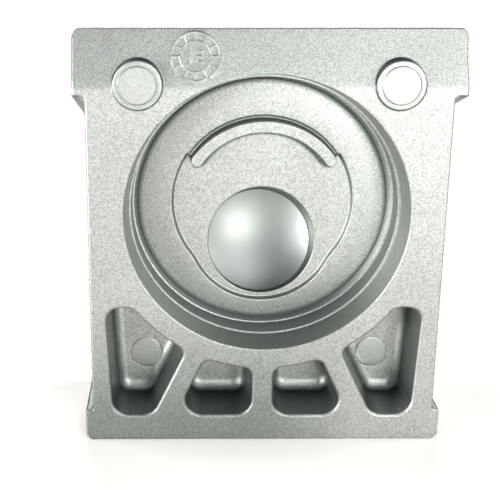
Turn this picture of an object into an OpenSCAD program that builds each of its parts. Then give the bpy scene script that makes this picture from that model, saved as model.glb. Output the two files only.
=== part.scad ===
// Die-cast aluminium motor housing, one casting. X runs to the right, Y runs back into the
// block and Z runs up. The origin is the middle of the underside, in the block's mid depth.

/* [Block] */
// Width of the block between its side faces
body_w = 75; // [70:0.5:95]
// Depth of the block from its front face to its back face
body_d = 28.5; // [28:0.5:45]
// Height of the crease where the front face begins to lean back
crease_h = 79.1; // [78:0.1:95]
// Length of the leaning band, measured up its slope
band_len = 12.6; // [11:0.1:20]
// Angle of the leaning band
lean = 20; // [10:0.5:22]
// Radius of the band's two upper corners
corner_r = 1.6; // [0.5:0.1:4]

/* [Ears] */
// How far each upper ear stands out of the block's side
ear_out = 2.9; // [1:0.1:6]
// Distance from the crease down to the ear's lower edge, at the front
ear_drop = 1.6; // [0.5:0.1:5]
// Radius of the inner corner under each upper ear
ear_fillet = 0.8; // [0.2:0.1:1.5]
// How far each lower ear stands out of the block's side
foot_out = 1.7; // [0.5:0.1:6]
// Height of the lower ears
foot_h = 7.4; // [4:0.1:12]
// Bevel on the lower ears' bottom corners
foot_bevel = 1.2; // [0.2:0.1:1.5]

/* [Recess] */
// Height of the recess centre above the underside
recess_h = 51.9; // [50:0.1:60]
// Radius of the recess at the front face
rim_r = 30; // [26:0.1:32]
// Depth of the recess floor
recess_d = 11.4; // [9:0.1:13]
// Draft of the recess wall
recess_draft = 7; // [1:0.5:10]
// Depth of the ledge in the recess wall
ledge_d = 6.4; // [3:0.1:8]
// Width of the ledge
ledge_w = 0.35; // [0.1:0.05:1]
// Width of the bevel where the wall meets the floor
toe_w = 0.8; // [0.2:0.1:1.5]
// Height of that bevel
toe_h = 0.5; // [0.2:0.1:1]

/* [Sunk area and rib] */
// Depth of the sunk area below the recess floor
cam_d = 1; // [0.4:0.1:2]
// Radius of the sunk area's main circle
cam_r = 19.6; // [18.8:0.1:22]
// Radius of its lower lobe
lobe_r = 15.9; // [14.5:0.1:18]
// Distance from the recess centre down to the lobe's centre
lobe_drop = 7; // [4:0.1:8]
// Radius of the rib's middle line
rib_r = 17.4; // [16.5:0.1:17.6]
// Width of the rib
rib_w = 2.3; // [1.5:0.1:2.6]
// Height of the rib above the sunk area
rib_h = 4; // [1.5:0.1:6]
// Angle from the vertical to each end of the rib
rib_half = 55.3; // [30:0.1:70]
// Angle by which the strip that isn't sunk, outside the rib, runs past each end
strip_past = 2; // [0.5:0.5:5]

/* [Bore] */
// Radius of the inclined bore
bore_r = 11.8; // [8:0.1:12]
// Distance from the recess centre down to the bore's mouth
bore_drop = 9.3; // [8.5:0.1:10.5]
// Angle by which the bore slopes down into the block
bore_tilt = 18; // [10:0.5:20]
// Depth of the machined bore along its axis, from the middle of its mouth
bore_d = 9; // [5:0.1:10]
// Width of the shoulder that the boring tool leaves where the machined wall ends
bore_step = 0.05; // [0.05:0.05:0.3]
// Height of the bore's domed floor, which lies below the machined wall
dome_h = 2.9; // [1:0.1:3.5]
// Distance from the end of the machined wall to the top of the dome
dome_clear = 0.1; // [0.05:0.05:0.5]
// Draft of the cast wall around the dome
dome_draft = 1; // [0.5:0.5:2.5]

/* [Pockets] */
// Wall between the recess and the pockets, at the front
ring_wall = 4.7; // [3:0.1:5]
// Width of the webs between the pockets, at the front
web_w = 4.6; // [3:0.1:6]
// Angle of the slanted webs, from the vertical
web_angle = 25.2; // [22:0.1:27]
// Wall between the outer pockets and the block's sides, at the underside
side_wall = 5; // [3:0.1:6]
// Angle by which the outer pockets widen upwards
pocket_flare = 2.9; // [0:0.1:4]
// Wall under the pockets
bottom_wall = 6.1; // [4:0.1:7]
// Distance from the recess centre down to the outer pockets' upper end
pocket_drop = 20.4; // [19:0.1:22]
// Depth of the pockets
pocket_d = 11.4; // [8:0.1:14]
// Draft of the pocket walls
pocket_draft = 5; // [1:0.5:6]
// Radius of the pockets' lower corners
pocket_r = 3.7; // [2.5:0.1:4]
// Radius of the pockets' upper corners
pocket_top_r = 3; // [2:0.1:3.4]
// Radius of the corners between the slanted webs and the ring wall
pocket_web_r = 2.2; // [1.5:0.1:3]
// Fillet where the pocket walls meet their floor
pocket_fillet = 2.3; // [0.8:0.1:2.6]

/* [Bosses and marks] */
// Distance from each side face to the boss centre
boss_inset = 10.95; // [8:0.05:12]
// Height of the boss centres above the crease
boss_lift = 0.75; // [-1:0.05:3]
// Radius of the bosses
boss_r = 5.05; // [3:0.05:6]
// Height of the bosses above the front face
boss_h = 0.5; // [0.2:0.05:2]
// Radius of the raised middle of each boss
boss_mid_r = 3.8; // [2:0.05:4.5]
// Height of that middle above the boss
boss_mid_h = 0.2; // [0.1:0.05:1]
// Radius of the round ejector marks in the outer pockets
mark_r = 3.5; // [2:0.1:4]
// Distance from each side face to the mark's centre
mark_inset = 11.8; // [11:0.1:13]
// Distance from the pockets' lower edge up to the mark's centre
mark_up = 9.8; // [8:0.1:14]
// Height of the marks above the pocket floor
mark_h = 0.15; // [0.05:0.05:0.4]

/* [Date dial] */
// Distance from the left boss to the dial, across the housing
dial_gap = 11.7; // [10.6:0.05:14]
// Distance of the dial's centre up the leaning band
dial_up = 6.4; // [5.8:0.05:7]
// Outer radius of the dial
dial_r = 5; // [3:0.05:5.4]
// Radius of the dial's inner ring
dial_in_r = 3.2; // [2:0.05:3.6]
// Width of the dial's ridges
ridge_w = 0.25; // [0.15:0.05:0.5]
// Height of the dial's ridges above the face
ridge_h = 0.15; // [0.1:0.05:0.4]
// Number of month marks around the dial
dial_marks = 12; // [4:1:24]
// Height of the two plain figures inside the dial
figure_h = 2.7; // [1.5:0.1:3.2]
// Gap between those figures
figure_gap = 0.55; // [0.3:0.05:0.8]

/* [Hidden] */
$fn = 128;
over = 1;
front_y = (boss_h + boss_mid_h - body_d) / 2;
band_top = crease_h + band_len * cos(lean);
ear_z = crease_h - ear_drop;
ear_back_z = ear_z - body_d * tan(lean);
floor_r = rim_r - recess_d * tan(recess_draft) - ledge_w - toe_w;
cam_y = recess_d + cam_d;
bore_z = recess_h - bore_drop;
boss_x = body_w / 2 - boss_inset;
boss_z = crease_h + boss_lift;
dial_x = boss_x - dial_gap;
figure_w = figure_h / 2;
dome_wall = dome_clear + dome_h;
cast_r = bore_r - bore_step;
dome_r = cast_r - dome_wall * tan(dome_draft);
dome_sphere_r = (dome_r * dome_r + dome_h * dome_h) / (2 * dome_h);
corner_steps = 7;
arc_steps = 8;
fillet_steps = 6;
tight_r = 0.3;

// Depth of the front face at height z: the upper band leans back from the crease
function face_y(z) = max(0, z - crease_h) * tan(lean);

// Pocket edges, each [nx, nz, c]: a straight edge keeps nx*x + nz*z <= c.
// The edge along the recess is [0, 0, r]: it keeps outside the circle of radius r.
bottom_edge = [0, -1, -bottom_wall];
flare_edge = [cos(pocket_flare), -sin(pocket_flare), cos(pocket_flare) * (body_w / 2 - side_wall)];
top_edge = [0, 1, recess_h - pocket_drop];
ring_edge = [0, 0, rim_r + ring_wall];
web_n = [cos(web_angle), sin(web_angle)];
web_c = sin(web_angle) * recess_h;
web_outer_edge = [-web_n[0], -web_n[1], -web_c - web_w / 2];
web_inner_edge = [web_n[0], web_n[1], web_c - web_w / 2];
middle_edge = [-1, 0, -web_w / 2];
OUTER_POCKET = [
    [bottom_edge, flare_edge, pocket_r],
    [flare_edge, top_edge, pocket_top_r],
    [top_edge, ring_edge, pocket_top_r],
    [ring_edge, web_outer_edge, pocket_web_r],
    [web_outer_edge, bottom_edge, pocket_r]];
INNER_POCKET = [
    [bottom_edge, web_inner_edge, pocket_r],
    [web_inner_edge, ring_edge, pocket_web_r],
    [ring_edge, middle_edge, pocket_web_r],
    [middle_edge, bottom_edge, pocket_r]];

function is_ring(e) = e[0] == 0 && e[1] == 0;

// Point where a straight edge, moved in by k, meets the ring circle grown by k.
// It lies behind the foot of the recess centre before the ring, and beyond it after.
function ring_point(e, k, side) =
    let (d = e[2] - k - e[1] * recess_h, r = ring_edge[2] + k, t = side * sqrt(r * r - d * d))
    [e[0] * d - e[1] * t, recess_h + e[1] * d + e[0] * t];

// Point where two neighbouring edges meet, both moved in by k
function meet(a, b, k) =
    is_ring(b) ? ring_point(a, k, -1) :
    is_ring(a) ? ring_point(b, k, 1) :
    let (det = a[0] * b[1] - a[1] * b[0], ca = a[2] - k, cb = b[2] - k)
    [(ca * b[1] - a[1] * cb) / det, (a[0] * cb - ca * b[0]) / det];

// Direction out of the pocket at a corner centre c, square to edge e
function out_angle(e, c) = is_ring(e) ? atan2(recess_h - c[1], -c[0]) : atan2(e[1], e[0]);

// Round corner of a pocket outline moved in by k
function corner_arc(q, k) =
    let (r = max(q[2] - k, tight_r), c = meet(q[0], q[1], k + r),
         a = out_angle(q[0], c), turn = (out_angle(q[1], c) - a + 720) % 360)
    [for (i = [0:corner_steps]) c + r * [cos(a + turn * i / corner_steps), sin(a + turn * i / corner_steps)]];

// Points of the ring edge between two neighbouring corners
function ring_arc(q, s, k) =
    let (p = meet(q[0], q[1], k + max(q[2] - k, tight_r)), n = meet(s[0], s[1], k + max(s[2] - k, tight_r)),
         a = atan2(p[1] - recess_h, p[0]), b = atan2(n[1] - recess_h, n[0]), r = ring_edge[2] + k)
    [for (i = [1:arc_steps - 1]) let (t = a + (b - a) * i / arc_steps) [r * cos(t), recess_h + r * sin(t)]];

function pocket_outline(corners, k) = [
    for (i = [0:len(corners) - 1]) let (q = corners[i], s = corners[(i + 1) % len(corners)])
    each concat(corner_arc(q, k), is_ring(q[1]) ? ring_arc(q, s, k) : [])];

// Levels of a pocket from above the face to its floor, each [inset, depth]:
// a drafted wall, then a round fillet into the flat floor
fillet_y = pocket_d - pocket_fillet;
fillet_k = fillet_y * tan(pocket_draft) + pocket_fillet / cos(pocket_draft);
pocket_levels = concat([[-over * tan(pocket_draft), -over]], [
    for (i = [0:fillet_steps]) let (a = pocket_draft + (90 - pocket_draft) * i / fillet_steps)
    [fillet_k - pocket_fillet * cos(a), fillet_y + pocket_fillet * sin(a)]]);

// Closed skin over a stack of outlines that all have n points
module skin(rings) {
    n = len(rings[0]);
    m = len(rings);
    sides = [for (j = [0:m - 2], i = [0:n - 1]) let (a = j * n + i, b = j * n + (i + 1) % n)
        each [[a, b, b + n], [a, b + n, a + n]]];
    polyhedron([for (r = rings) each r],
        concat([[for (i = [n - 1:-1:0]) i]], sides, [[for (i = [0:n - 1]) (m - 1) * n + i]]));
}

module pocket(corners) {
    skin([for (q = pocket_levels) [for (p = pocket_outline(corners, q[0])) [p[0], q[1], p[1]]]]);
}

// A shape drawn around the front-to-back axis through the recess centre
module at_recess(depth) {
    translate([0, depth, recess_h]) rotate([-90, 0, 0]) children();
}

// Side profile, [y, z] points, as a bar of width w across the housing
module bar(w, profile) {
    translate([-w / 2, 0, 0]) rotate([90, 0, 90]) linear_extrude(w) polygon(profile);
}

module block() {
    translate([-body_w / 2, 0, 0]) cube([body_w, body_d, crease_h - ear_drop / 2]);
}

// Outline of the leaning band seen square to it, with its two upper corners rounded
module band_outline() {
    w = body_w + 2 * ear_out;
    translate([-w / 2, -crease_h]) square([w, crease_h + band_len - corner_r]);
    translate([-w / 2 + corner_r, -crease_h]) square([w - 2 * corner_r, crease_h + band_len]);
    for (s = [-1, 1]) translate([s * (w / 2 - corner_r), band_len - corner_r]) circle(r = corner_r);
}

// The block's top with both upper ears: the band's outline, carried back square to the band
module upper_ears() {
    intersection() {
        bar(body_w + 2 * ear_out + 2 * over,
            [[0, ear_z], [0, band_top + over], [body_d, band_top + over], [body_d, ear_back_z]]);
        translate([0, 0, crease_h]) rotate([-lean, 0, 0]) translate([0, 2 * body_d, 0]) rotate([90, 0, 0])
            linear_extrude(2 * body_d) band_outline();
    }
    ear_fillet_strip();
    mirror([1, 0, 0]) ear_fillet_strip();
}

// Concave strip under the upper ear, running back and down with it
module ear_fillet_strip() {
    reach = body_d / cos(lean) + 2 * ear_fillet;
    intersection() {
        translate([body_w / 2, 0, ear_z]) rotate([-90 - lean, 0, 0]) difference() {
            translate([-ear_fillet, 0, -ear_fillet]) cube([2 * ear_fillet, ear_fillet, reach]);
            translate([ear_fillet, ear_fillet, -2 * ear_fillet])
                cylinder(r = ear_fillet, h = reach + 2 * ear_fillet);
        }
        cube([body_w, body_d, crease_h]);
    }
}

module lower_ears() {
    w = body_w / 2 + foot_out;
    translate([0, body_d, 0]) rotate([90, 0, 0]) linear_extrude(body_d) polygon([
        [-w, foot_bevel], [-w, foot_h], [w, foot_h], [w, foot_bevel],
        [w - foot_bevel, 0], [-w + foot_bevel, 0]]);
}

module recess_cut() {
    t = tan(recess_draft);
    at_recess(0) rotate_extrude() polygon([
        [0, -band_len], [rim_r + over * t, -over], [rim_r - ledge_d * t, ledge_d],
        [rim_r - ledge_d * t - ledge_w, ledge_d],
        [floor_r + toe_w, recess_d - toe_h], [floor_r, recess_d], [0, recess_d]]);
}

module cam_outline() {
    circle(r = cam_r);
    translate([0, lobe_drop]) circle(r = lobe_r);
}

// Sector from radius a to radius b, within the given angle of the vertical
module top_sector(a, b, half) {
    rotate(-90 - half) rotate_extrude(angle = 2 * half) translate([a, 0]) square([b - a, cam_d + over]);
}

module cam_cut() {
    difference() {
        at_recess(recess_d - over) linear_extrude(cam_d + over) cam_outline();
        at_recess(recess_d) top_sector(rib_r, cam_r + over, rib_half + strip_past);
    }
}

module rib() {
    half_w = rib_w / 2;
    at_recess(cam_y - rib_h) {
        rotate(-90 - rib_half) rotate_extrude(angle = 2 * rib_half)
            translate([rib_r - half_w, 0]) square([rib_w, rib_h + over]);
        for (s = [-1, 1]) rotate(-90 + s * rib_half) translate([rib_r, 0, 0])
            cylinder(r = half_w, h = rib_h + over);
    }
}

// Inclined blind bore: a machined wall, then a cast wall with draft around a domed floor,
// which rises towards the mouth but stays below the machined wall
module bore_cut() {
    before = bore_r * tan(bore_tilt) + over;
    translate([0, cam_y, bore_z]) rotate([-90 - bore_tilt, 0, 0]) {
        translate([0, 0, -before]) cylinder(r = bore_r, h = bore_d + before);
        difference() {
            translate([0, 0, bore_d - over])
                cylinder(r1 = cast_r + over * tan(dome_draft), r2 = dome_r, h = dome_wall + over);
            translate([0, 0, bore_d + dome_clear + dome_sphere_r]) sphere(r = dome_sphere_r);
        }
    }
}

module boss(x) {
    translate([x, 0, boss_z]) rotate([90, 0, 0]) {
        translate([0, 0, -face_y(boss_z + boss_r) - over])
            cylinder(r = boss_r, h = face_y(boss_z + boss_r) + over + boss_h);
        cylinder(r = boss_mid_r, h = boss_h + boss_mid_h);
    }
}

module ejector_mark(x) {
    translate([x, pocket_d - mark_h, bottom_wall + mark_up]) rotate([-90, 0, 0])
        cylinder(r = mark_r, h = mark_h + over);
}

// One ridge of the dial, on the face, from radius a to radius b
module ridge(a, b) {
    translate([a, -ridge_w / 2, -ridge_h]) cube([b - a, ridge_w, 2 * ridge_h]);
}

// One ring of the dial with its outer edge at radius r
module ridge_ring(r) {
    rotate_extrude() translate([r - ridge_w, -ridge_h]) square([ridge_w, 2 * ridge_h]);
}

// A plain figure made of straight strokes: [x0, z0, x1, z1] in shares of its width and height
module figure(strokes) {
    for (s = strokes) {
        w = (s[2] - s[0]) * figure_w;
        h = (s[3] - s[1]) * figure_h;
        translate([s[0] * figure_w - ridge_w / 2, -s[1] * figure_h - h - ridge_w / 2, -ridge_h])
            cube([w + ridge_w, h + ridge_w, 2 * ridge_h]);
    }
}

FIGURE_ONE = [[0.5, 0, 0.5, 1]];
FIGURE_TWO = [[0, 1, 1, 1], [1, 0.5, 1, 1], [0, 0.5, 1, 0.5], [0, 0, 0, 0.5], [0, 0, 1, 0]];

module date_dial() {
    translate([-dial_x, 0, crease_h]) rotate([-lean, 0, 0]) translate([0, 0, dial_up]) rotate([-90, 0, 0]) {
        ridge_ring(dial_r);
        ridge_ring(dial_in_r);
        for (i = [0:dial_marks - 1]) rotate(i * 360 / dial_marks)
            ridge(dial_in_r - ridge_w / 2, dial_r - ridge_w / 2);
        translate([-figure_gap / 2 - figure_w, figure_h / 2, 0]) figure(FIGURE_ONE);
        translate([figure_gap / 2, figure_h / 2, 0]) figure(FIGURE_TWO);
    }
}

module motor_housing() {
    color([0.74, 0.76, 0.74]) translate([0, front_y, 0]) {
        difference() {
            union() {
                block();
                upper_ears();
                lower_ears();
            }
            recess_cut();
            cam_cut();
            bore_cut();
            for (side = [0, 1]) mirror([side, 0, 0]) {
                pocket(OUTER_POCKET);
                pocket(INNER_POCKET);
            }
        }
        intersection() {
            rib();
            at_recess(0) cylinder(r = rim_r, h = cam_y + over);
        }
        for (side = [-1, 1]) {
            boss(side * boss_x);
            ejector_mark(side * (body_w / 2 - mark_inset));
        }
        date_dial();
    }
}

motor_housing();
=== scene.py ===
import math

import bmesh
import bpy
import numpy as np
from mathutils import Matrix, Vector
from mathutils.geometry import delaunay_2d_cdt


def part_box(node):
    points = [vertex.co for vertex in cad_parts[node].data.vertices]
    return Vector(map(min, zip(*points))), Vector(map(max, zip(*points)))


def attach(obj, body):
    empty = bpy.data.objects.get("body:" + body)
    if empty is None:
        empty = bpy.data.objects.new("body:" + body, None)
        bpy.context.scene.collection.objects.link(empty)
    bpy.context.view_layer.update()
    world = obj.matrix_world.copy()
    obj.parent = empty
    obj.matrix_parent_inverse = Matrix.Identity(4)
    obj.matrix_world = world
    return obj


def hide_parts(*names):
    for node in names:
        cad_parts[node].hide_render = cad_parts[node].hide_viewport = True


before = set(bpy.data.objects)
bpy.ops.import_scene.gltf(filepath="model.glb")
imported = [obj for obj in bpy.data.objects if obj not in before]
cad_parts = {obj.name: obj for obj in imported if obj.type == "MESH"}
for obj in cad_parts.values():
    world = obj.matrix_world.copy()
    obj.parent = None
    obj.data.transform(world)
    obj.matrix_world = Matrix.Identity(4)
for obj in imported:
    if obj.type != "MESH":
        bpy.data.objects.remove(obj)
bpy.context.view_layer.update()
MM = 0.001

# Camera. It stands a little left of the housing and looks down on its recessed front, with
# the lens moved off centre as far as the photograph's framing needs.
FRAME_PX = 500
SENSOR = 36
FOCAL_PX = 998.2
CENTRE_PX = (190, 185)
CAMERA_AT = (-17.35, -211.68, 116.47)
LOOK_DOWN = math.radians(16.19)
LOOK_LEFT = math.radians(-0.41)
TILT = math.radians(0.07)
camera_data = bpy.data.cameras.new("photo_camera")
camera_data.sensor_width = SENSOR
camera_data.lens = FOCAL_PX / FRAME_PX * SENSOR
camera_data.shift_x = (FRAME_PX / 2 - CENTRE_PX[0]) / FRAME_PX
camera_data.shift_y = (CENTRE_PX[1] - FRAME_PX / 2) / FRAME_PX
camera_data.clip_start = 0.01
camera = bpy.data.objects.new("photo_camera", camera_data)
camera.matrix_world = (
    Matrix.Translation(Vector(CAMERA_AT) * MM)
    @ Matrix.Rotation(LOOK_LEFT, 4, "Z")
    @ Matrix.Rotation(math.pi / 2 - LOOK_DOWN, 4, "X")
    @ Matrix.Rotation(TILT, 4, "Z")
)
bpy.context.scene.collection.objects.link(camera)
bpy.context.scene.camera = camera

# Motor housing: one die-cast aluminium body, shot-blasted as cast. Its outline comes first, seen
# from the front and in millimetres: a block with an ear at each upper corner and a low bevelled
# ear at each foot. The upper band leans back, and the die gives every outer edge a small radius.
low, high = (np.array(corner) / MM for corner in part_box("motor_housing"))
PAD_RISE = 0.7
EAR_OUT = 2.9
EAR_DROP = 1.6
EAR_FILLET = 0.8
EAR_TOP_R = 1.6
LEFT_EAR_LESS = 0.5
FOOT_OUT = 1.55
FOOT_H = 7.4
FOOT_BEVEL = 1.2
FOOT_FILLET = 0.3
CORNER_R = 0.5
SIDE_SHIFT = 0.2
EDGE_R = 0.45
LEAN = math.radians(20)
BAND_LEN = 12.6
CREASE_SOFT = 0.9
OUTLINE_STEP = 0.5
ARC_STEPS = 6
front_y = low[1] + PAD_RISE
body_d = high[1] - front_y
half_w = high[0] - EAR_OUT
crease_h = high[2] - BAND_LEN * math.cos(LEAN)
ear_z = crease_h - EAR_DROP


def lean_back(z):
    """Depth of the upper band: nothing below the crease, then the height above the crease
    times the tangent of the lean, with a soft bend between."""
    above = z - crease_h
    return (above + np.hypot(above, CREASE_SOFT)) / 2 * math.tan(LEAN)


def round_corner(before, at, after, radius, steps):
    """Arc that rounds the corner `at` of a line: it starts on the stretch from `before`, ends on
    the stretch to `after`, and its normals turn evenly from one stretch's to the other's."""
    a, b = at - before, after - at
    a, b = a / np.hypot(*a), b / np.hypot(*b)
    turn = math.atan2(a[0] * b[1] - a[1] * b[0], a @ b)
    angle = math.atan2(-a[0], a[1]) + turn * np.linspace(0, 1, steps + 1)
    normals = np.stack([np.cos(angle), np.sin(angle)], 1)
    start = at - a * radius * math.tan(abs(turn) / 2)
    return start + math.copysign(radius, turn) * (normals - normals[0]), normals


def closed_outline(corners, step):
    """Closed path through rounded corners [x, z, radius], with points at most `step` apart on the
    straight stretches. Gives the points and the outward normals."""
    xz = np.array(corners)[:, :2]
    points, normals = [], []
    for i, (_, _, radius) in enumerate(corners):
        arc, out = round_corner(xz[i - 1], xz[i], xz[(i + 1) % len(xz)], radius, ARC_STEPS)
        points.append(arc)
        normals.append(out)
    stretches = []
    for i, (arc, out) in enumerate(zip(points, normals)):
        gap = points[(i + 1) % len(points)][0] - arc[-1]
        share = np.linspace(0, 1, max(2, math.ceil(np.hypot(*gap) / step) + 1))[1:-1, None]
        stretches.append((arc[-1] + share * gap, np.repeat(out[-1:], len(share), 0)))
    mixed = [part for pair in zip(zip(points, normals), stretches) for part in pair]
    return np.vstack([p for p, _ in mixed]), np.vstack([n for _, n in mixed])


def side_corners(body_x, ear_x):
    """Corners [x, z, radius] of the right-hand outline, from the foot up to the ear."""
    foot_x = body_x + FOOT_OUT
    return [
        [foot_x - FOOT_BEVEL, 0, CORNER_R], [foot_x, FOOT_BEVEL, CORNER_R],
        [foot_x, FOOT_H, CORNER_R], [body_x, FOOT_H, FOOT_FILLET],
        [body_x, ear_z, EAR_FILLET], [ear_x, ear_z, CORNER_R], [ear_x, high[2], EAR_TOP_R],
    ]


right_side = side_corners(half_w + SIDE_SHIFT, high[0])
mirrored = side_corners(half_w - SIDE_SHIFT, high[0] - LEFT_EAR_LESS)
left_side = [[-x, z, radius] for x, z, radius in reversed(mirrored)]
outline, outward = closed_outline(right_side + left_side, OUTLINE_STEP)
slopes_down = outline[:, 1] > ear_z - EAR_FILLET - 0.1  # the ears and all above them

# Small knocks on the cast edges, from handling, each [x, z, size, depth], and the slight waviness
# that the die leaves along the whole edge: two waves, each (radians per millimetre, start).
KNOCKS = np.array([
    [-39.7, 89.9, 0.6, 0.3], [40.4, 87.4, 0.5, 0.25], [40.4, 85.9, 0.45, 0.2],
    [40.4, 84.6, 0.6, 0.3], [40.4, 83.5, 0.4, 0.2], [37.5, 66.0, 0.6, 0.12],
    [-37.5, 20.0, 0.7, 0.12], [39.2, 2.6, 0.5, 0.2],
])
KNOCK_FADE = 1.5
WAVE_H = 0.03
WAVES = ((1.7, 0), (0.83, 1))
gap = np.hypot(outline[:, :1] - KNOCKS[:, 0], outline[:, 1:] - KNOCKS[:, 1]) / KNOCKS[:, 2]
knocked = (np.exp(-gap ** 2) * KNOCKS[:, 3]).max(1)
around = np.cumsum(np.hypot(*(outline - np.roll(outline, 1, 0)).T))
wavy = WAVE_H * sum(np.sin(around * rate + start) for rate, start in WAVES) / len(WAVES)


def skin_ring(offset, depth, from_front):
    """One ring of the outer skin: the outline moved along its normals by `offset`, and inwards at
    the knocks, which fade with depth. Depth counts from the leaning front or from the vertical
    back, and whatever belongs to the upper ears runs down with depth, square to the band."""
    moved = offset - (knocked + wavy) * math.exp(-depth / KNOCK_FADE)
    ring = outline + outward * moved[:, None]
    behind = depth if from_front else depth - lean_back(ring[:, 1])
    down = np.where(slopes_down, np.maximum(behind, 0) * math.tan(LEAN), 0)
    y = depth + lean_back(ring[:, 1]) if from_front else np.full(len(ring), depth)
    return np.stack([ring[:, 0], front_y + y, ring[:, 1] - down], 1)


# Outer skin, ring by ring: the rounding of the front edge, then that of the back edge
edge_turn = np.linspace(0, math.pi / 2, 5)
skin = [
    skin_ring(EDGE_R * (math.sin(a) - 1), EDGE_R * (1 - math.cos(a)), True) for a in edge_turn
] + [
    skin_ring(EDGE_R * (math.cos(a) - 1), body_d + EDGE_R * (math.sin(a) - 1), False)
    for a in edge_turn
]
skin = np.array(skin)

# Recess: a round hollow cast into the front, with a narrow ledge down its wall. The wall's foot
# has a small lip, a sloping toe and a fine groove, and the floor is slightly crowned. The whole
# front is one drawn surface: each feature from here on gives its depth over x and z, and guide
# lines where the mesh needs edges.
guides = []
RECESS_H = 51.9
RECESS_D = 11.4
RIM_R = 30.0
RIM_SHIFT = 0.2
RECESS_REACH = RIM_R + 1.2
WALL_DRAFT = math.radians(7)
LEDGE_D = 6.4
LEDGE_W = 0.5
LEDGE_IN = 0.08
FLOOR_R = 27.42
FLOOR_DROP = 0.15
FLOOR_BLEND = 3
TOE_W = 0.75
TOE_H = 0.8
LIP_W = 0.3
LIP_H = 0.08
GROOVE_W = 0.12
GROOVE_D = 0.22
GROOVE_REACH = 0.25
CROWN = 0.5
CROWN_R = 19.8
TURN_STEPS = 240
CREASE_LINES = (-0.6, -0.2, 0, 0.2, 0.6)
CREASE_END = 1.3


def profile(points, steps):
    """Line through [distance, depth, radius] points, rounded at each point with a radius."""
    at = np.array(points)[:, :2]
    parts = [at[:1]]
    for i in range(1, len(points) - 1):
        radius = points[i][2]
        arc = round_corner(at[i - 1], at[i], at[i + 1], radius, steps)[0]
        parts.append(arc if radius else at[i:i + 1])
    return np.vstack([*parts, at[-1:]])


def along(line, distance):
    """Depth of a profile at each distance, straight between its points."""
    order = np.argsort(line[:, 0])
    return np.interp(distance, line[order, 0], line[order, 1])


def circle(x, z, radius, angles):
    """Points on a circle: its middle plus the radius times each angle's cosine and sine."""
    return np.stack([x + radius * np.cos(angles), z + radius * np.sin(angles)], 1)


def guide(path, closed=True):
    """Keeps a line of [x, z] points, which the front's mesh then has as edges."""
    guides.append((path, closed))


def recess_radius(x, z):
    """Distance from the recess's middle. The rim's middle lies a little to the right and the
    floor's a little below, and down the wall the middle moves evenly from one to the other. Well
    inside the floor it is back on the sunk area's middle."""
    r = np.hypot(x, z - RECESS_H)
    up_wall = np.clip((r - FLOOR_R) / (RIM_R - FLOOR_R), 0, 1)
    in_floor = np.clip((FLOOR_R - r) / FLOOR_BLEND, 0, 1)
    drop = FLOOR_DROP * (1 - up_wall) * (1 - in_floor)
    return np.hypot(x - RIM_SHIFT * up_wall, z - RECESS_H + drop)


def recess_circle(radius, angles):
    """Circle of the recess at `radius`: found from the middle outwards by three corrections."""
    ring = circle(0, RECESS_H, radius, angles)
    for _ in range(3):
        off = radius - recess_radius(ring[:, 0], ring[:, 1])
        ring = ring + off[:, None] * np.stack([np.cos(angles), np.sin(angles)], 1)
    return ring


ledge_r = RIM_R - LEDGE_D * math.tan(WALL_DRAFT) - LEDGE_IN
lip_r = FLOOR_R + TOE_W + LIP_W
toe_d = RECESS_D + CROWN
crowned = [
    [CROWN_R + share * (FLOOR_R - GROOVE_REACH - CROWN_R), RECESS_D + CROWN * share ** 2, 0]
    for share in np.linspace(1, 0, 9)
]
recess_line = profile([
    [RECESS_REACH, 0, 0], [RIM_R, 0, 0.4],
    [ledge_r, LEDGE_D, 0.12], [ledge_r - LEDGE_W, LEDGE_D, 0.2],
    [lip_r, toe_d - TOE_H - LIP_H, 0.05], [FLOOR_R + TOE_W, toe_d - TOE_H, 0.05],
    [FLOOR_R, toe_d, 0], [FLOOR_R - GROOVE_W, toe_d + GROOVE_D, 0], *crowned,
], 4)
full_turn = np.linspace(0, 2 * math.pi, TURN_STEPS, endpoint=False)
for offset in CREASE_LINES:
    z = crease_h + offset
    inner = math.sqrt((RIM_R + 0.7) ** 2 - (z - RECESS_H) ** 2)
    for side in (-1, 1):
        guide(np.array([[side * inner, z], [side * (high[0] - CREASE_END), z]]), False)

# Sunk area round the bore, with its lower lobe, and the curved rib that stands in it, all cast.
# Outside the rib a narrow strip isn't sunk: it rises gently to the rib's foot, and a fine notch
# runs along its outer edge.
CAM_D = 1.0
CAM_R = 19.6
CAM_REACH = FLOOR_R - 1
CAM_CLEAR = 0.45
LOBE_R = 15.9
LOBE_DROP = 7.0
LOBE_BLEND = 0.45
RIB_R = 17.4
RIB_W = 2.65
RIB_H = 4.0
RIB_HALF = math.radians(55.3)
STRIP_HALF = math.radians(57.3)
STRIP_OUT_R = CAM_R + 0.3
STRIP_RISE = 0.2
STRIP_FADE = 0.5
NOTCH_R = CAM_R - 0.15
NOTCH_D = 0.2
cam_floor = RECESS_D + CAM_D
rib_end_x = RIB_R * math.sin(RIB_HALF)
rib_end_up = RIB_R * math.cos(RIB_HALF)
cam_line = profile([
    [1.1, 0, 0], [0.32, 0, 0.3], [-0.18, CAM_D, 0.3], [-0.8, CAM_D, 0],
], 4)
strip_line = profile([
    [STRIP_OUT_R, 0, 0], [CAM_R - 0.05, 0, 0.05], [NOTCH_R, NOTCH_D, 0.04], [CAM_R - 0.3, 0, 0.05],
    [RIB_R + RIB_W / 2 + 0.4, -STRIP_RISE, 0], [RIB_R, -STRIP_RISE, 0],
], 2)
rib_line = profile([
    [-0.7, 0, 0], [-0.08, 0, 0.22], [0.15, RIB_H, 0.3],
    [0.75, RIB_H, 0], [1.05, RIB_H, 0], [1.35, RIB_H, 0],
], 4)


def from_vertical(x, z):
    """Angle at the recess's middle between straight up and a point on either side."""
    return np.arctan2(np.abs(x), z - RECESS_H)


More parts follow.
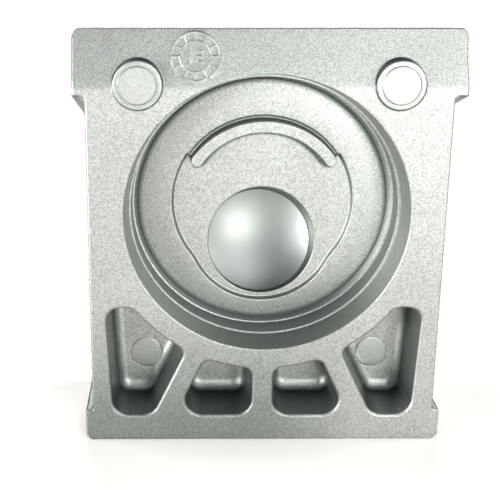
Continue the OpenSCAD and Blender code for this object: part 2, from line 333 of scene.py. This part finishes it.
def cam_distance(x, z):
    """Distance outside the sunk area's outline: the nearer of its two circles, blended where
    they meet."""
    a = np.hypot(x, z - RECESS_H) - CAM_R
    b = np.hypot(x, z - RECESS_H + LOBE_DROP) - LOBE_R
    share = np.clip(0.5 + (b - a) / (2 * LOBE_BLEND), 0, 1)
    return b + (a - b) * share - LOBE_BLEND * share * (1 - share)


def strip_distance(x, z):
    """Distance inside the sector behind the rib, square to its two ends or to the rib's line."""
    r = np.hypot(x, z - RECESS_H)
    return np.minimum(r - RIB_R, r * np.sin(STRIP_HALF - from_vertical(x, z)))


def rib_distance(x, z):
    """Distance outside the rib: from its arc, or beyond the ends from the end points."""
    r = np.hypot(x, z - RECESS_H)
    end = np.hypot(np.abs(x) - rib_end_x, z - RECESS_H - rib_end_up)
    return np.where(from_vertical(x, z) < RIB_HALF, np.abs(r - RIB_R), end) - RIB_W / 2


def contour(field, centre, reach, level, angles):
    """Closed line where `field`, which grows outwards, has the value `level`, found by halving
    the distance along each ray from `centre`."""
    near, far = np.zeros(len(angles)), np.full(len(angles), float(reach))
    for _ in range(40):
        middle = (near + far) / 2
        x, z = circle(centre[0], centre[1], middle, angles).T
        inside = field(x, z) < level
        near, far = np.where(inside, middle, near), np.where(inside, far, middle)
    return circle(centre[0], centre[1], near, angles)


for radius in recess_line[:, 0]:
    ring = recess_circle(radius, full_turn - math.pi / 2)
    outside = cam_distance(ring[:, 0], ring[:, 1]) > CAM_CLEAR
    if outside.any():
        guide(ring[outside], closed=outside.all())
for offset in cam_line[:, 0]:
    guide(contour(cam_distance, (0, RECESS_H - LOBE_DROP / 2), 30, offset, full_turn))
strip_ends = np.array([[RIB_R + 0.6], [STRIP_OUT_R]])
for side in (-1, 1):
    for offset in cam_line[:, 0]:
        angle = STRIP_HALF - math.asin(offset / CAM_R)
        guide([0, RECESS_H] + strip_ends * [side * math.sin(angle), math.cos(angle)], False)
sector_half = STRIP_HALF + 0.03
sector = math.pi / 2 + np.linspace(-sector_half, sector_half, 120)
for radius in strip_line[:, 0]:
    guide(circle(0, RECESS_H, radius, sector), False)
arc = np.linspace(-RIB_HALF, RIB_HALF, 90)
cap = np.linspace(0, math.pi, 13)
for offset in rib_line[:, 0]:
    half = RIB_W / 2 + offset
    outer = circle(0, RECESS_H, RIB_R + half, math.pi / 2 - arc)
    inner = circle(0, RECESS_H, RIB_R - half, math.pi / 2 + arc)
    right = circle(rib_end_x, RECESS_H + rib_end_up, half, math.pi / 2 - RIB_HALF - cap)
    left = right[::-1] * [-1, 1]
    guide(np.vstack([outer, right[1:-1], inner, left[1:-1]]))

# Four cored pockets between the webs under the recess, cast to save metal. Their walls have draft
# and run into a flat floor with a wide fillet, and the outer two carry the round mark of an
# ejector pin. A straight edge is (nx, nz, c), and the edge along the recess is None.
RING_WALL = 4.7
WEB_W = 4.6
WEB_ANGLE = math.radians(25.2)
SIDE_WALL = 5.0
FLARE = math.radians(2.9)
BOTTOM_WALL = 6.1
POCKET_DROP = 20.4
POCKET_D = 11.4
POCKET_DRAFT = math.radians(5)
POCKET_FILLET = 2.3
POCKET_LIP_R = 0.75
BOTTOM_R = 3.7
TOP_R = 3.0
RING_R = 2.2
MARK_R = 3.5
MARK_X = 25.7
MARK_Z = 15.9
web = np.array([math.cos(WEB_ANGLE), math.sin(WEB_ANGLE)])
bottom_edge = (0, -1, -BOTTOM_WALL)
flare_edge = (math.cos(FLARE), -math.sin(FLARE), math.cos(FLARE) * (half_w - SIDE_WALL))
top_edge = (0, 1, RECESS_H - POCKET_DROP)
web_outer_edge = (-web[0], -web[1], -web[1] * RECESS_H - WEB_W / 2)
web_inner_edge = (web[0], web[1], web[1] * RECESS_H - WEB_W / 2)
middle_edge = (-1, 0, -WEB_W / 2)
ring_edge = None
outer_pocket = [
    (bottom_edge, flare_edge, BOTTOM_R), (flare_edge, top_edge, TOP_R),
    (top_edge, ring_edge, TOP_R), (ring_edge, web_outer_edge, RING_R),
    (web_outer_edge, bottom_edge, BOTTOM_R),
]
inner_pocket = [
    (bottom_edge, web_inner_edge, BOTTOM_R), (web_inner_edge, ring_edge, RING_R),
    (ring_edge, middle_edge, RING_R), (middle_edge, bottom_edge, BOTTOM_R),
]
pocket_line = profile([
    [-1.0, 0, 0], [0, 0, POCKET_LIP_R],
    [POCKET_D * math.tan(POCKET_DRAFT), POCKET_D, POCKET_FILLET], [5, POCKET_D, 0],
], 8)
mark_line = np.array([[3.9, 0], [3.68, 0.05], [3.58, 0.05], [3.4, -0.15], [0, -0.15]])


def corner_centre(a, b, radius):
    """Centre of the round corner between two pocket edges: the point that lies `radius` inside
    both. A straight edge keeps nx*x + nz*z under c, and the ring edge keeps outside a circle."""
    if a is not None and b is not None:
        normals = np.array([a[:2], b[:2]])
        return np.linalg.solve(normals, np.array([a[2], b[2]]) - radius)
    nx, nz, c = b if a is None else a
    d = c - radius - nz * RECESS_H
    t = math.sqrt((RIM_R + RING_WALL + radius) ** 2 - d * d) * (1 if a is None else -1)
    return np.array([nx * d - nz * t, RECESS_H + nz * d + nx * t])


def pocket_distance(corners):
    """Field of the distance inside a pocket's outline: the least distance to its edges, or in a
    round corner the radius less the distance from the corner's centre."""
    centres = [corner_centre(a, b, r) for a, b, r in corners]

    def field(x, z):
        edges = [a for a, _, _ in corners]
        from_ring = np.hypot(x, z - RECESS_H) - RIM_R - RING_WALL
        inside = np.min([
            from_ring if e is None else e[2] - e[0] * x - e[1] * z for e in edges
        ], axis=0)
        for (a, b, radius), (cx, cz) in zip(corners, centres):
            out = [np.array([-cx, RECESS_H - cz]) if e is None else np.array(e[:2]) for e in (a, b)]
            px, pz = x - cx, z - cz
            wedge = (out[0][0] * pz - out[0][1] * px > 0) & (px * out[1][1] - pz * out[1][0] > 0)
            inside = np.where(wedge, radius - np.hypot(px, pz), inside)
        return inside

    return field


pockets = [
    (pocket_distance(outer_pocket), (26.0, 16.0), 150),
    (pocket_distance(inner_pocket), (9.0, 11.5), 120),
]
for field, centre, steps in pockets:
    angles = np.linspace(0, 2 * math.pi, steps, endpoint=False)
    for inset in pocket_line[:-1, 0]:
        ring = contour(lambda x, z: -field(x, z), centre, 22, -inset, angles)
        for side in (-1, 1):
            guide(ring * [side, 1])
mark_turn = np.linspace(0, 2 * math.pi, 72, endpoint=False)
for radius in mark_line[:-1, 0]:
    for side in (-1, 1):
        guide(circle(side * MARK_X, MARK_Z, radius, mark_turn))

# Two round pads beside the dial, cast on. Their faces stay parallel to the main face, so they
# stand out more where the band leans back, and the middle of each is a little higher.
PAD_X = half_w - 10.95
PAD_Z = crease_h + 0.75
PAD_R = 5.05
PAD_WALL = 0.06
PAD_STEP_R = 4.0
PAD_TOP_R = 3.82
PAD_STEP_H = 0.15
PAD_EDGE_H = 0.55
pad_line = profile([
    [PAD_R, -0.3, 0], [PAD_R, -PAD_EDGE_H, 0.3], [PAD_STEP_R, PAD_STEP_H - PAD_RISE, 0.1],
    [PAD_TOP_R, -PAD_RISE, 0.1], [3.4, -PAD_RISE, 0],
], 4)
pad_turn = np.linspace(0, 2 * math.pi, 96, endpoint=False)
for side in (-1, 1):
    for radius in [PAD_R + 0.4, PAD_R + PAD_WALL, *pad_line[1:, 0]]:
        guide(circle(side * PAD_X, PAD_Z, radius, pad_turn))

# Date dial: fine raised ridges, cast by the engraved insert in the die, with twelve marks between
# two rings and two plain figures in the middle, on a low disc.
DIAL_X = -14.85
DIAL_UP = 6.7
DIAL_R = 5.0
DIAL_IN_R = 3.2
DIAL_MARKS = 12
RIDGE_H = 0.2
RIDGE_HALF = 0.2
DISC_H = 0.12
FIGURE_W = 1.1
FIGURE_H = 2.2
FIGURE_GAP = 0.75
figure_one = [[0.5, 0, 0.5, 1]]
figure_two = [[0, 1, 1, 1], [1, 0.5, 1, 1], [0, 0.5, 1, 0.5], [0, 0, 0, 0.5], [0, 0, 1, 0]]
strokes = [
    [left + a * FIGURE_W, (b - 0.5) * FIGURE_H, left + c * FIGURE_W, (d - 0.5) * FIGURE_H]
    for left, figure in ((-FIGURE_GAP / 2 - FIGURE_W, figure_one), (FIGURE_GAP / 2, figure_two))
    for a, b, c, d in figure
]
for angle in np.arange(DIAL_MARKS) * 2 * math.pi / DIAL_MARKS:
    c, s = math.cos(angle), math.sin(angle)
    strokes.append([c * DIAL_IN_R, s * DIAL_IN_R, c * DIAL_R, s * DIAL_R])


def band_point(u, v):
    """Place on the leaning band of a point u to the right of the dial and v up the slope."""
    return np.stack([DIAL_X + u, crease_h + (DIAL_UP + v) * math.cos(LEAN)], -1)


def ridge_height(x, z):
    """Height of the dial: a low disc, with a round hump across each ring and stroke."""
    u = x - DIAL_X
    v = (z - crease_h) / math.cos(LEAN) - DIAL_UP
    r = np.hypot(u, v)
    off = np.minimum(np.abs(r - DIAL_R), np.abs(r - DIAL_IN_R))
    for a, b, c, d in strokes:
        length_sq = (c - a) ** 2 + (d - b) ** 2
        share = np.clip(((u - a) * (c - a) + (v - b) * (d - b)) / length_sq, 0, 1)
        off = np.minimum(off, np.hypot(u - a - share * (c - a), v - b - share * (d - b)))
    disc = np.clip((DIAL_R + RIDGE_HALF - r) / RIDGE_HALF, 0, 1)
    return DISC_H * disc + RIDGE_H * np.cos(np.minimum(off / RIDGE_HALF, 1) * math.pi / 2) ** 2


across = np.array([-1, -0.5, 0, 0.5, 1]) * RIDGE_HALF
dial_turn = np.linspace(0, 2 * math.pi, 96, endpoint=False)
for radius in (DIAL_R, DIAL_IN_R):
    for offset in across:
        ring = circle(0, 0, radius + offset, dial_turn)
        guide(band_point(ring[:, 0], ring[:, 1]))
for a, b, c, d in strokes:
    length = math.hypot(c - a, d - b)
    for offset in across:
        du, dv = -(d - b) / length * offset, (c - a) / length * offset
        share = np.linspace(-RIDGE_HALF / length, 1 + RIDGE_HALF / length, 11)
        guide(band_point(a + share * (c - a) + du, b + share * (d - b) + dv), False)

# Scratch on the right-hand side of the front: one hairline in the cast skin, from handling, with
# [x, z] at its ends.
SCRATCH = np.array([[30.5, 52.95], [32.3, 52.9]])
SCRATCH_HALF = 0.1
scratch_points = SCRATCH[:1] + np.linspace(0, 1, 7)[:, None] * (SCRATCH[1] - SCRATCH[0])
for offset in (-SCRATCH_HALF, 0, SCRATCH_HALF):
    guide(scratch_points + [0, offset], False)

# Bore: machined into the casting after it was shot-blasted, and sloping down into the block. Its
# wall ends in a smooth hollow floor.
BORE_R = 11.8
BORE_DROP = 9.3
BORE_TILT = math.radians(18)
BORE_D = 9.0
WALL_END = 0.15
DISH_H = 2.4
DISH_R = BORE_R - 0.1
DISH_RINGS = 28
MOUTH_R = 0.25
BORE_STEPS = 180
bore_z = RECESS_H - BORE_DROP
bore_turn = np.linspace(0, 2 * math.pi, BORE_STEPS, endpoint=False)
into = np.array([0, math.cos(BORE_TILT), -math.sin(BORE_TILT)])
upward = np.array([0, math.sin(BORE_TILT), math.cos(BORE_TILT)])
dish_sphere = (DISH_R ** 2 + DISH_H ** 2) / (2 * DISH_H)


def bore_ring(radius, below_mouth=None, down=0.0):
    """Ring of the bore: its middle, plus the radius times the cosine to the right and the sine
    upward, plus its depth along the axis. Near the mouth the depth counts from the sloping mouth,
    which is where the bore meets the sunk floor, and further in from the mouth's middle."""
    along_axis = down
    if below_mouth is not None:
        along_axis = below_mouth - radius * np.sin(bore_turn) * math.tan(BORE_TILT)
    along_axis = np.broadcast_to(along_axis, bore_turn.shape)
    return (
        np.array([0, front_y + cam_floor, bore_z])
        + radius * np.cos(bore_turn)[:, None] * [1, 0, 0]
        + radius * np.sin(bore_turn)[:, None] * upward
        + along_axis[:, None] * into
    )


def dish_down(radius):
    """Depth of the hollow floor along the axis: its middle's, less the rise of a sphere's cap from
    the middle out to `radius`."""
    return BORE_D + DISH_H - dish_sphere + math.sqrt(dish_sphere ** 2 - radius ** 2)


rounding = np.linspace(0, math.pi / 2, 4)
dish_radii = DISH_R * (1 - np.linspace(0, 1, DISH_RINGS)[:-1] ** 1.2)
bore = np.array([
    *(bore_ring(BORE_R + MOUTH_R * (1 - math.sin(a)), below_mouth=MOUTH_R * (1 - math.cos(a)))
      for a in rounding),
    bore_ring(BORE_R, down=BORE_D - WALL_END),
    *(bore_ring(radius, down=dish_down(radius)) for radius in dish_radii),
])
dish_bottom = np.array([0, front_y + cam_floor, bore_z]) + into * dish_down(0)
guide(bore[0][:, [0, 2]])

# Joining the front, which is cast in one with everything above: the depth of every feature
# together, over one triangulation that follows all the guide lines.
POINT_GAP = 1e-4
MERGE_GAP = 2e-4


def depth(x, z):
    """Depth of the front below its plane. Features inside one another replace the depth step by
    step: recess, sunk area, strip, rib, pockets with their marks, ridges and pads."""
    r = np.hypot(x, z - RECESS_H)
    wall_r = recess_radius(x, z)
    d = np.where(wall_r < RECESS_REACH, along(recess_line, wall_r), 0.0)
    sunk = np.maximum(cam_distance(x, z), strip_distance(x, z))
    d = d + np.where(r < CAM_REACH, along(cam_line, sunk), 0)
    behind_rib = (from_vertical(x, z) < STRIP_HALF) & (r > RIB_R) & (r < STRIP_OUT_R)
    fade = np.clip((STRIP_HALF - from_vertical(x, z)) * RIB_R / STRIP_FADE, 0, 1)
    d = d + np.where(behind_rib, along(strip_line, r) * fade, 0)
    rib = 1 - along(rib_line, rib_distance(x, z)) / RIB_H
    d = np.where(r < FLOOR_R, d * (1 - rib) + (cam_floor - RIB_H) * rib, d)
    for field, _, _ in pockets:
        d = np.maximum(d, along(pocket_line, field(np.abs(x), z)))
    in_pocket = (r > RIM_R + 1) & (d > POCKET_D / 2)
    mark = along(mark_line, np.hypot(np.abs(x) - MARK_X, z - MARK_Z))
    d = d + np.where(in_pocket, mark * np.clip(d - POCKET_D + 1, 0, 1), 0)
    d = d + lean_back(z) * np.clip(1 - d / LEDGE_D, 0, 1) - ridge_height(x, z) / math.cos(LEAN)
    pad_r = np.hypot(np.abs(x) - PAD_X, z - PAD_Z)
    pad = np.clip((PAD_R + PAD_WALL - pad_r) / PAD_WALL, 0, 1)
    return d * (1 - pad) + along(pad_line, pad_r) * pad


def triangulated(edge_ring, hole_ring):
    """Triangles between the outer ring and the bore's mouth that keep every guide line as edges.
    Gives the flat points and the triangles."""
    points, edges = [], []
    for path, closed in [(edge_ring, True), *guides]:
        start = len(points)
        points += [Vector(p) for p in path]
        last = len(path) if closed else len(path) - 1
        edges += [(start + i, start + (i + 1) % len(path)) for i in range(last)]
    flat, _, triangles, *_ = delaunay_2d_cdt(points, edges, [], 0, POINT_GAP)
    flat, triangles = np.array(flat), np.array(triangles)
    middle = flat[triangles].mean(1)
    kept = inside_ring(edge_ring, middle) & ~inside_ring(hole_ring, middle)
    return flat, triangles[kept]


def inside_ring(ring, points):
    """Whether each point lies inside a closed ring: a level ray from it crosses the ring an odd
    number of times."""
    a, b = ring, np.roll(ring, -1, 0)
    x, z = points[:, :1], points[:, 1:]
    spans = (a[:, 1] > z) != (b[:, 1] > z)
    rise = np.where(b[:, 1] == a[:, 1], 1, b[:, 1] - a[:, 1])
    crossing = a[:, 0] + (z - a[:, 1]) / rise * (b[:, 0] - a[:, 0])
    return (spans & (x < crossing)).sum(1) % 2 == 1


flat, front_faces = triangulated(skin[0][:, [0, 2]], bore[0][:, [0, 2]])
front = np.stack([flat[:, 0], front_y + depth(flat[:, 0], flat[:, 1]), flat[:, 1]], 1)
for seam in (bore[0], skin[0]):
    seam[:, 1] = front_y + depth(seam[:, 0], seam[:, 2])  # so both meet the front with no gap


def grid_faces(rows, columns, first):
    """Four-sided faces between neighbouring closed rings of points, numbered ring by ring."""
    i, j = np.meshgrid(np.arange(rows - 1), np.arange(columns), indexing="ij")
    k = (j + 1) % columns
    corners = [i * columns + j, i * columns + k, (i + 1) * columns + k, (i + 1) * columns + j]
    return first + np.stack(corners, -1).reshape(-1, 4)


skin_first = len(front)
bore_first = skin_first + skin.shape[0] * skin.shape[1]
vertices = np.vstack([front, skin.reshape(-1, 3), bore.reshape(-1, 3), dish_bottom[None]])
back_face = bore_first - skin.shape[1] + np.arange(skin.shape[1])
last = len(vertices) - 1
last_ring = last - BORE_STEPS + np.arange(BORE_STEPS)
dish_fan = np.stack([last_ring, np.roll(last_ring, -1), np.full(BORE_STEPS, last)], 1)
faces = [
    *front_faces.tolist(),
    *grid_faces(skin.shape[0], skin.shape[1], skin_first).tolist(),
    *grid_faces(bore.shape[0], bore.shape[1], bore_first).tolist(),
    *dish_fan.tolist(),
    back_face.tolist(),
]
mesh = bpy.data.meshes.new("motor_housing_casting")
mesh.from_pydata((vertices * MM).tolist(), [], faces)
shaping = bmesh.new()
shaping.from_mesh(mesh)
loose = [v for v in shaping.verts if not v.link_faces]
bmesh.ops.delete(shaping, geom=loose, context="VERTS")
bmesh.ops.remove_doubles(shaping, verts=shaping.verts, dist=MERGE_GAP * MM)
bmesh.ops.recalc_face_normals(shaping, faces=shaping.faces)
shaping.to_mesh(mesh)
shaping.free()
mesh.shade_smooth()
casting = bpy.data.objects.new("cast_housing", mesh)
bpy.context.scene.collection.objects.link(casting)


def flat_weighted_normals(mesh):
    """Normal at each point: the mean of its faces' normals, each counted by its face's area, so
    flat faces stay flat and only the roundings turn."""
    loops = np.zeros(len(mesh.loops), np.int32)
    mesh.loops.foreach_get("vertex_index", loops)
    normals = np.zeros(len(mesh.polygons) * 3)
    areas = np.zeros(len(mesh.polygons))
    sizes = np.zeros(len(mesh.polygons), np.int32)
    mesh.polygons.foreach_get("normal", normals)
    mesh.polygons.foreach_get("area", areas)
    mesh.polygons.foreach_get("loop_total", sizes)
    weighted = np.repeat(normals.reshape(-1, 3) * areas[:, None], sizes, 0)
    total = np.zeros((len(mesh.vertices), 3))
    np.add.at(total, loops, weighted)
    return total / np.linalg.norm(total, axis=1, keepdims=True)


normals = flat_weighted_normals(mesh)
mesh.normals_split_custom_set_from_vertices(normals.tolist())

# Finish of each place. The machined bore and its floor are satin, the pads and the ejector marks
# are burnished, and the rest is shot-blasted. Faces along the die's draw are streaked. Painted
# shade darkens the corners, the walls that lie in shade, the bore and the lower left of the front,
# and a hairline scratch is darker too. Each share is kept as an attribute that the material reads.
PAD_SATIN = 0.35
MARK_SATIN = 0.3
# strength of the painted shade on the bore's wall and on its floor
BORE_PAINTED_SHADE = 0.5
DISH_PAINTED_SHADE = 0.24
SLACK = 0.02
points = np.zeros(len(mesh.vertices) * 3)
mesh.vertices.foreach_get("co", points)
px, py, pz = points.reshape(-1, 3).T / MM
deep = py - front_y
past_mouth = deep - cam_floor
off_axis = (pz - bore_z + past_mouth * math.tan(BORE_TILT)) * math.cos(BORE_TILT)
in_bore = (np.hypot(px, off_axis) < BORE_R + SLACK) & (past_mouth > SLACK)
pad_off = np.hypot(np.abs(px) - PAD_X, pz - PAD_Z)
on_pad = pad_off < PAD_R + SLACK / 2
mark_off = np.hypot(np.abs(px) - MARK_X, pz - MARK_Z)
on_mark = (mark_off < MARK_R) & (deep > POCKET_D - 0.5) & (deep < POCKET_D + 0.6)
satin = np.maximum.reduce([in_bore * 1.0, on_pad * PAD_SATIN, on_mark * MARK_SATIN])
drawn = np.clip((0.6 - np.abs(normals[:, 1])) / 0.4, 0, 1) * (1 - in_bore)


def line_of(distance, half_width):
    """Strength of a soft line along a feature: 1 less the square of the distance's share of
    `half_width`, and never below 0."""
    return np.clip(1 - (distance / half_width) ** 2, 0, 1)


r = np.hypot(px, pz - RECESS_H)
foot_off = recess_radius(px, pz) - FLOOR_R
sunk_off = np.maximum(cam_distance(px, pz), strip_distance(px, pz))
rib_off = rib_distance(px, pz)
facing_up = normals[:, 2]
sunk = r < CAM_REACH
inside_rib = r < RIB_R - 0.3
outside_recess = (pz < RECESS_H - RIM_R) | (r > RIM_R + 1)
in_pocket = outside_recess & (deep > 1.5) & (np.abs(px) < half_w - 1)
scratch_off = np.abs(pz - np.interp(px, SCRATCH[:, 0], SCRATCH[:, 1]))
along_scratch = (px - SCRATCH[0, 0] > 0.1) & (px - SCRATCH[1, 0] < 0.01)
on_scratch = (scratch_off < 0.004) & along_scratch & (deep < 0.1)
low_down = np.clip((30 - pz) / 22, 0, 1)
to_the_left = np.clip((22 - px) / 20, 0, 1)
# Painted shade, kept as one share with the darkening of one real scratch: each entry darkens a
# place that lies in shade or shadow, and the strongest entry wins.
painted_shade_and_scratch = np.maximum.reduce([
    # painted shade: groove, toe and lower half of the recess's wall, where it faces up
    0.95 * line_of(foot_off + GROOVE_W, 0.2),
    0.3 * line_of(foot_off - TOE_W / 2, TOE_W / 2),
    0.42 * np.clip(facing_up, 0, 1) * (r > FLOOR_R + TOE_W) * (r < RIM_R) * (deep > 0.4),
    # painted shade: edge of the sunk area, and the notch behind the rib
    0.4 * line_of(sunk_off - 0.05, 0.25) * sunk * (rib_off > 0),
    0.35 * line_of(r - NOTCH_R, 0.12) * (from_vertical(px, pz) < STRIP_HALF),
    # painted shade and shadow: foot of the rib all round, and more on its inner side
    0.7 * line_of(rib_off - 0.1, 0.2) * sunk,
    0.9 * line_of(rib_off - 0.02, 0.3) * inside_rib,
    0.75 * line_of(rib_off - 0.65, 0.65) * inside_rib,
    # painted shade: step on the pads, and their feet
    0.4 * line_of(pad_off - (PAD_STEP_R + PAD_TOP_R) / 2, 0.16),
    0.7 * line_of(pad_off - PAD_R - 0.08, 0.22),
    # painted shade: walls of the pockets, more where they face up, and the undersides of the upper
    # ears
    (0.55 + 0.35 * (facing_up > 0.5)) * drawn * in_pocket,
    0.5 * (np.abs(px) > half_w + 0.9) * (facing_up < -0.3) * (pz > RECESS_H),
    # the scratch, a real mark, and broad painted shade, darker towards the bottom left of the front
    0.7 * on_scratch,
    0.4 * low_down * to_the_left * (deep < 1),
]) * (1 - in_bore) * (py < high[1] - 1)
# painted shade in the bore: stronger on its wall than on its floor
along_wall = np.abs(normals @ into) < 0.5
painted_shade_and_scratch = np.maximum(painted_shade_and_scratch, in_bore * np.where(along_wall, BORE_PAINTED_SHADE, DISH_PAINTED_SHADE))
# The third share is the painted shade, together with the scratch.
for name, values in (("satin", satin), ("drawn", drawn), ("painted_shade_and_scratch", painted_shade_and_scratch)):
    mesh.attributes.new(name, "FLOAT", "POINT").data.foreach_set("value", values.astype(np.float32))


def node(tree, kind, inputs=(), **settings):
    """Adds a shader node, with its settings, and its inputs given as values or as sockets."""
    made = tree.nodes.new(kind)
    for name, value in settings.items():
        setattr(made, name, value)
    for name, value in dict(inputs).items():
        if isinstance(value, bpy.types.NodeSocket):
            tree.links.new(value, made.inputs[name])
        else:
            made.inputs[name].default_value = value
    return made


def cast_aluminium():
    """Shot-blasted die-cast aluminium: a pale, faintly green grey with a fine dimpled grain. Where
    the die's walls have drawn along the casting, the grain is weaker and runs in faint streaks
    from front to back, and the satin places have none. Painted shade and a scratch darken it, the
    red most."""
    material = bpy.data.materials.new("cast_aluminium")
    material.use_nodes = True
    tree = material.node_tree
    tree.nodes.clear()
    where = node(tree, "ShaderNodeTexCoord").outputs["Object"]
    satin_share = node(tree, "ShaderNodeAttribute", attribute_name="satin").outputs["Fac"]
    drawn_share = node(tree, "ShaderNodeAttribute", attribute_name="drawn").outputs["Fac"]
    # share of painted shade, which also holds the darker scratch
    shade_and_scratch_share = node(tree, "ShaderNodeAttribute", attribute_name="painted_shade_and_scratch").outputs["Fac"]
    smooth = node(tree, "ShaderNodeMath", {
        0: drawn_share, 1: 0.5, 2: satin_share},
        operation="MULTIPLY_ADD", use_clamp=True).outputs["Value"]
    # colour: fine specks, even where smooth, in faint clouds and with a few darker pits
    speck = node(tree, "ShaderNodeTexNoise", {
        "Vector": where, "Scale": 3000.0, "Detail": 3.0, "Roughness": 0.7})
    tone = node(tree, "ShaderNodeValToRGB", {"Fac": speck.outputs["Fac"]})
    tone.color_ramp.elements[0].position = 0.36
    tone.color_ramp.elements[0].color = (0.245, 0.257, 0.243, 1)
    tone.color_ramp.elements[1].position = 0.62
    tone.color_ramp.elements[1].color = (0.43, 0.45, 0.425, 1)
    even = node(tree, "ShaderNodeMix", {
        "Factor": smooth, "A": tone.outputs["Color"], "B": (0.36, 0.377, 0.36, 1)},
        data_type="RGBA")
    cloud = node(tree, "ShaderNodeTexNoise", {"Vector": where, "Scale": 70.0, "Detail": 4.0})
    clouded = node(tree, "ShaderNodeMapRange", {
        "Value": cloud.outputs["Fac"],
        "From Min": 0.3, "From Max": 0.7, "To Min": 0.94, "To Max": 1.04})
    pits = node(tree, "ShaderNodeTexNoise", {"Vector": where, "Scale": 900.0, "Detail": 1.0})
    pitted = node(tree, "ShaderNodeMapRange", {
        "Value": pits.outputs["Fac"],
        "From Min": 0.72, "From Max": 0.8, "To Min": 1.0, "To Max": 0.75})
    unpitted = node(tree, "ShaderNodeMix", {
        "Factor": smooth, "A": pitted.outputs["Result"], "B": 1.0})
    shade = node(tree, "ShaderNodeMath", {
        0: clouded.outputs["Result"], 1: unpitted.outputs["Result"]}, operation="MULTIPLY")
    # painted shade: darkens the colour by that share, the red most
    shade_and_scratch_darkening = node(tree, "ShaderNodeVectorMath", {
        0: (-1.0, -0.94, -0.96), 1: shade_and_scratch_share, 2: (1.0, 1.0, 1.0)}, operation="MULTIPLY_ADD")
    tinted = node(tree, "ShaderNodeVectorMath", {
        0: shade.outputs["Value"], 1: shade_and_scratch_darkening.outputs["Vector"]}, operation="MULTIPLY")
    colour = node(tree, "ShaderNodeVectorMath", {
        0: even.outputs["Result"], 1: tinted.outputs["Vector"]}, operation="MULTIPLY")
    # surface: dimples from the shot, which fade where smooth, and streaks along the draw
    rough = node(tree, "ShaderNodeMapRange", {"Value": smooth, "To Min": 0.48, "To Max": 0.44})
    grain = node(tree, "ShaderNodeTexNoise", {
        "Vector": where, "Scale": 3600.0, "Detail": 2.0, "Roughness": 0.6})
    dimples = node(tree, "ShaderNodeMapRange", {"Value": smooth, "To Min": 0.3, "To Max": 0.0})
    dimpled = node(tree, "ShaderNodeBump", {
        "Strength": dimples.outputs["Result"], "Distance": 0.00012, "Height": grain.outputs["Fac"]})
    along_draw = node(tree, "ShaderNodeMapping", {"Vector": where, "Scale": (1.0, 0.04, 1.0)})
    streak = node(tree, "ShaderNodeTexNoise", {
        "Vector": along_draw.outputs["Vector"], "Scale": 1200.0, "Detail": 3.0})
    streaks = node(tree, "ShaderNodeMath", {0: drawn_share, 1: 0.25}, operation="MULTIPLY")
    bump = node(tree, "ShaderNodeBump", {
        "Strength": streaks.outputs["Value"], "Distance": 0.0001, "Height": streak.outputs["Fac"],
        "Normal": dimpled.outputs["Normal"]})
    metal = node(tree, "ShaderNodeBsdfPrincipled", {
        "Base Color": colour.outputs["Vector"], "Metallic": 1.0,
        "Roughness": rough.outputs["Result"], "Normal": bump.outputs["Normal"],
    })
    node(tree, "ShaderNodeOutputMaterial", {"Surface": metal.outputs["BSDF"]})
    return material


casting.data.materials.append(cast_aluminium())
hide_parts("motor_housing")
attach(casting, "root")

# Floor: a plain pale matt sheet that the housing stands on, wide enough to fill the view.
FLOOR_HALF = 4.0
floor_corners = np.array([(-1, -1, 0), (1, -1, 0), (1, 1, 0), (-1, 1, 0)]) * FLOOR_HALF
floor_mesh = bpy.data.meshes.new("floor")
floor_mesh.from_pydata(floor_corners.tolist(), [], [(0, 1, 2, 3)])
floor = bpy.data.objects.new("floor", floor_mesh)
bpy.context.scene.collection.objects.link(floor)
paper = bpy.data.materials.new("pale_floor")
paper.use_nodes = True
paper.node_tree.nodes["Principled BSDF"].inputs["Base Color"].default_value = (0.9, 0.885, 0.85, 1)
paper.node_tree.nodes["Principled BSDF"].inputs["Roughness"].default_value = 0.9
floor.data.materials.append(paper)

# Studio light. Large soft boxes high at the left, behind and at the right leave the front in
# shade and make the floor bright, so the front mirrors the floor. Smaller ones stand closer: low
# on both sides of the front, higher at its right, and above it.
HOUSING_MIDDLE = Vector((0, 0, 0.045))
LARGE = (2.2, 0.8)
SMALL = (0.8, 0.26)


def soft_box(name, direction, distance_and_size, power):
    """Square soft light, seen from the housing's middle at `direction` (degrees to the right of
    straight in front, degrees up), that faces the housing and isn't itself seen."""
    distance, size = distance_and_size
    right, up = (math.radians(angle) for angle in direction)
    level = math.cos(up)
    towards = Vector((math.sin(right) * level, -math.cos(right) * level, math.sin(up)))
    light = bpy.data.lights.new(name, "AREA")
    light.shape = "SQUARE"
    light.size = size
    light.energy = power
    lamp = bpy.data.objects.new(name, light)
    lamp.location = HOUSING_MIDDLE + towards * distance
    lamp.rotation_euler = towards.to_track_quat("Z", "Y").to_euler()
    lamp.visible_camera = False
    bpy.context.scene.collection.objects.link(lamp)


soft_box("high_left_box", (-95, 58), LARGE, 19)
soft_box("high_back_box", (180, 40), LARGE, 28)
soft_box("high_right_box", (95, 40), LARGE, 18.5)
soft_box("low_left_box", (-50, 2), SMALL, 11)
soft_box("low_right_box", (20, 2), SMALL, 4.6)
soft_box("right_box", (56, 24), SMALL, 2.1)
soft_box("front_box", (20, 38), SMALL, 1.6)
world = bpy.data.worlds.new("room")
world.use_nodes = True
world.node_tree.nodes["Background"].inputs["Color"].default_value = (0.6, 0.95, 0.85, 1)
world.node_tree.nodes["Background"].inputs["Strength"].default_value = 0.02
bpy.context.scene.world = world
bpy.context.scene.view_settings.view_transform = "Standard"
